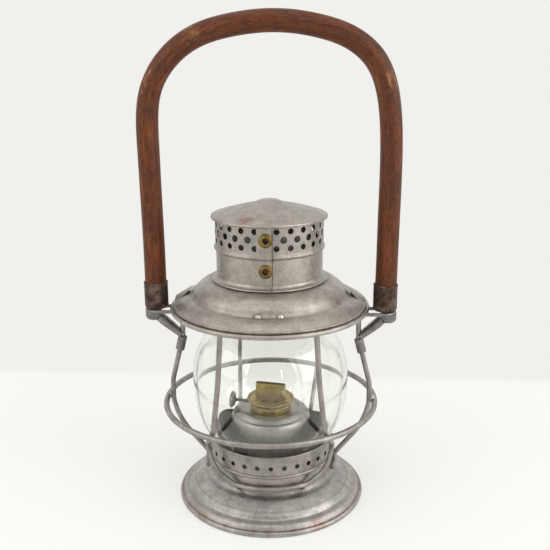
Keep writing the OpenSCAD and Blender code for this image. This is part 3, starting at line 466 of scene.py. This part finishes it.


# Dress the nodes

# One finish for each of the record's slots, and a finish of their own for the pieces whose dirt, rust and painted
# shade lie at known places.
grey = ("#908b84", "#a49e96", "#b9b3ab")
wire_grey = ("#7b7574", "#958e8c", "#aea7a4")
finishes = {
    "tinned sheet": tinplate("weathered tinplate", grey),
    "inner sheet": tinplate("dusty tinplate", ("#77736b", "#8f8a83", "#a5a098"), roughness=(0.45, 0.7)),
    "guard wire": tinplate("tinned wire", wire_grey, roughness=(0.36, 0.54), pits=0.03 * MM),
    "foot wire": rusted_steel("rusted rim wire", "#3a241c", "#7d5a4c", "#8d6f60"),
    "bracket steel": tinplate("dulled bracket steel", ("#605c5c", "#7c7776", "#98928f")),
    "bail steel": rusted_steel("dark ferrule steel", "#332a27", "#5f4a3e", "#85766b"),
    "bail wood": old_varnished_wood("old varnished hickory"),
    "screw steel": rusted_steel("plain dark steel", "#403a36", "#6b625c", "#8a827b", 0.3),
    "hinge steel": tinplate("dull spring steel", ("#6f6b66", "#87827b", "#9d978f")),
    "rivet metal": tinplate("worn rivet metal", ("#a29c93", "#bab4aa", "#d3cdc3"), roughness=(0.26, 0.38)),
    "clear glass": clear_glass("pressed soda-lime glass"),
    "eyelet brass": aged_brass("tarnished eyelet brass", ("#5f4a29", "#83683a", "#a08447")),
    "fount metal": tinplate("tinned fount steel", ("#8b8985", "#a09d98", "#b3b0aa"), roughness=(0.32, 0.45),
                            pits=0.02 * MM),
    "burner brass": aged_brass("aged burner brass", ("#93804a", "#b09a5c", "#cdb87a"), 0.3),
    "cotton wick": cotton_tape("cotton wick tape"),
}
rivets = [(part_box(name)[0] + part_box(name)[1]) / 2 for name in ("left_rivet", "right_rivet")]
special = {
    "bell_base": tinplate("weathered tinplate of the bell", ("#878583", "#a19e9b", "#b9b5b1"), [
        (stain_and_shade_ring(77.8 * MM, 1.5 * MM, "radius"), "#6e4334", 0.85),
        (stain_and_shade_ring(73.2 * MM, 2.6 * MM, "radius"), "#75685c", 0.35),
        (stain_and_shade_ring(66.5 * MM, 1.2 * MM, "radius"), "#6e675f", 0.5),
        (stain_and_shade_patch(42 * MM, -66 * MM, 4.5 * MM, 20 * MM), "#7f4c3b", 0.65),
        (stain_and_shade_patch(-54 * MM, -57 * MM, 4.5 * MM, 15 * MM), "#7d5242", 0.55),
        # painted shade under the hoop band, down into the hollow of the bell's neck
        (stain_and_shade_ring(23.6 * MM, 1.8 * MM), "#6a645c", 0.6)]),
    "vent_collar": tinplate("weathered tinplate of the collar", ("#7f7a79", "#98928f", "#aea8a3")),
    "chimney_cap": tinplate("weathered tinplate of the cap", grey, [
        (stain_and_shade_patch(-15 * MM, -37 * MM, 248 * MM, 17 * MM), "#8c5343", 0.9)]),
    "chimney": tinplate("weathered tinplate of the chimney", grey, [
        # painted shade along the edge of the chimney's lap
        (painted_seam_shade(5.0 * MM, 1.0 * MM), "#2a2521", 0.95)]),
    "chimney_foot": tinplate("weathered tinplate of the flange", grey, [
        # painted shade along the edge of the flange's lap
        (painted_seam_shade(4.8 * MM, 0.8 * MM), "#2f2a26", 0.9)]),
    "dome": tinplate("weathered tinplate of the dome", grey, [
        # painted shade in brown along the brim's rolled edge, where it overhangs the top ring
        (stain_and_shade_ring(80.4 * MM, 0.9 * MM, "radius"), "#5a4033", 0.8),
        (stain_and_shade_ring(63.5 * MM, 1.6 * MM, "radius"), "#7a7468", 0.5),
        (stain_and_shade_ring(49.0 * MM, 2.0 * MM, "radius"), "#69635b", 0.7)]
        # painted shade round each rivet head on the dome
        + [(stain_and_shade_patch(*place, 12 * MM), "#4c463e", 0.9) for place in rivets]),
}
for row in frame["record"]["subparts"]:
    node = nodes[row["node"]]
    chosen = special.get(row["node"], finishes[row["material_slot"]])
    node.data.materials.clear()
    node.data.materials.append(chosen)
bail_rod(finishes["bail wood"])
clear_globe(finishes["clear glass"])
guard_solder()


# Studio

def seen_rays(tree):
    """1 for the rays that show a surface: to the eye, and reflected in metal or through glass. The second value is
    the Light Path node."""
    paths = add(tree, "LightPath")
    eye, metal, glass = (paths.outputs[kind] for kind in ("Is Camera Ray", "Is Glossy Ray", "Is Transmission Ray"))
    seen = add(tree, "Math", {0: eye, 1: metal}, operation="MAXIMUM").outputs[0]
    return add(tree, "Math", {0: seen, 1: glass}, operation="MAXIMUM").outputs[0], paths


def stage_floor():
    """A wide pale cloth under the lantern that keeps its shadow. 25 cm behind the lantern, and 70 cm to 110 cm off to
    the other sides, it passes softly into the plain wall. To the eye it is part cloth and part a plain glow."""
    size = 6.0
    mesh = bpy.data.meshes.new("floor")
    mesh.from_pydata([(-size, -size, 0), (size, -size, 0), (size, size, 0), (-size, size, 0)], [], [(0, 1, 2, 3)])
    material, tree, place, radius, _ = start("pale cloth floor")
    depth = add(tree, "SeparateXYZ", {0: place}).outputs["Y"]
    behind = add(tree, "MapRange", {0: depth, 1: 0.235, 2: 0.262}, interpolation_type="SMOOTHSTEP").outputs[0]
    away = add(tree, "MapRange", {0: radius, 1: 0.7, 2: 1.1}, interpolation_type="SMOOTHSTEP").outputs[0]
    far = add(tree, "Math", {0: behind, 1: away}, operation="MAXIMUM").outputs[0]
    cloth = add(tree, "BsdfPrincipled", {"Base Color": linear("#eeedea"), "Roughness": 0.9})
    glow = add(tree, "Emission", {"Color": over(tree, far, "#f5f5f2", "#f1f0ed")})
    seen, _ = seen_rays(tree)
    share = times(tree, add(tree, "MapRange", {0: far, 3: 0.55, 4: 1.0}).outputs[0], seen)
    both = add(tree, "MixShader", {0: share, 1: cloth.outputs[0], 2: glow.outputs[0]})
    add(tree, "OutputMaterial", {"Surface": both.outputs[0]})
    mesh.materials.append(material)
    floor = bpy.data.objects.new("floor", mesh)
    bpy.context.scene.collection.objects.link(floor)


def soft_light(name, azimuth, elevation, width, height, watts):
    """An area lamp 1.6 m off at an azimuth round the lantern, 0 in front, aimed at the globe."""
    distance, globe_height = 1.6, 0.15
    a, e = math.radians(azimuth), math.radians(elevation)
    lamp = bpy.data.lights.new(name, "AREA")
    lamp.shape = "RECTANGLE"
    lamp.size = width
    lamp.size_y = height
    lamp.energy = watts
    thing = bpy.data.objects.new(name, lamp)
    thing.location = (distance * math.sin(a) * math.cos(e), -distance * math.cos(a) * math.cos(e),
                      distance * math.sin(e) + globe_height)
    thing.rotation_euler = (math.pi / 2 - e, 0, a)
    bpy.context.scene.collection.objects.link(thing)


def studio():
    """A pale room: white to the eye, to metal and to glass, dimmer behind the camera, and plain as a light."""
    world = bpy.data.worlds.new("pale room")
    world.use_nodes = True
    tree = world.node_tree
    tree.nodes.clear()
    way = add(tree, "TexCoord").outputs["Generated"]
    height = add(tree, "SeparateXYZ", {0: way}).outputs["Z"]
    toward = add(tree, "VectorMath", {0: way, 1: (-0.35, -0.94, 0.0)}, operation="DOT_PRODUCT").outputs["Value"]
    dim = add(tree, "MapRange", {0: toward, 1: -0.2, 2: 0.95}, interpolation_type="SMOOTHSTEP").outputs[0]
    above = add(tree, "MapRange", {0: height, 1: -0.2, 2: 1.0, 3: 0.0, 4: 0.35}).outputs[0]
    before = add(tree, "MapRange", {0: toward, 1: -0.8, 2: 0.9, 3: 0.35, 4: 1.0}).outputs[0]
    lit = add(tree, "Math", {0: above, 1: before}, operation="ADD").outputs[0]
    seen, paths = seen_rays(tree)
    reflected = over(tree, dim, "#fdfcfa", "#b0aeab")
    shown = over(tree, paths.outputs["Is Glossy Ray"], "#f1f0ed", reflected)
    strength = add(tree, "Mix", {0: seen, 2: lit, 3: 1.0}).outputs[0]
    light = add(tree, "Background", {"Color": shown, "Strength": strength})
    add(tree, "OutputWorld", {"Surface": light.outputs[0]})
    bpy.context.scene.world = world
    soft_light("left window", -62, 28, 1.3, 1.4, 8)
    soft_light("right window", 66, 24, 1.3, 1.4, 13)
    soft_light("ceiling", 8, 80, 1.9, 1.9, 6.5)
    soft_light("window gap", -33, 24, 0.05, 0.45, 0.9)
    soft_light("door gap", 21, 20, 0.04, 0.35, 0.5)


def camera():
    """The photograph's view: 636 mm out and 373 mm up, 3.6 degrees round to the right, tipped down 15.6 degrees,
    rolled a third of a degree, 4.4 mm to the right of the line to the axis, with an 800 pixel focal length on 550."""
    turn, tip, roll = math.radians(3.6), math.radians(15.6), math.radians(-0.35)
    away, up, aside = 636 * MM, 373 * MM, 4.4 * MM
    sensor, focal_pixels, picture_pixels = 36.0, 800, 550
    lens = bpy.data.cameras.new("camera")
    lens.sensor_width = sensor
    lens.lens = sensor * focal_pixels / picture_pixels
    lens.clip_start = 0.01
    thing = bpy.data.objects.new("camera", lens)
    thing.location = (away * math.sin(turn) + aside * math.cos(turn),
                      -away * math.cos(turn) + aside * math.sin(turn), up)
    aim = Matrix.Rotation(turn, 3, "Z") @ Matrix.Rotation(math.pi / 2 - tip, 3, "X") @ Matrix.Rotation(roll, 3, "Z")
    thing.rotation_euler = aim.to_euler()
    bpy.context.scene.collection.objects.link(thing)
    bpy.context.scene.camera = thing


stage_floor()
studio()
camera()
bpy.context.scene.view_settings.view_transform = "Standard"
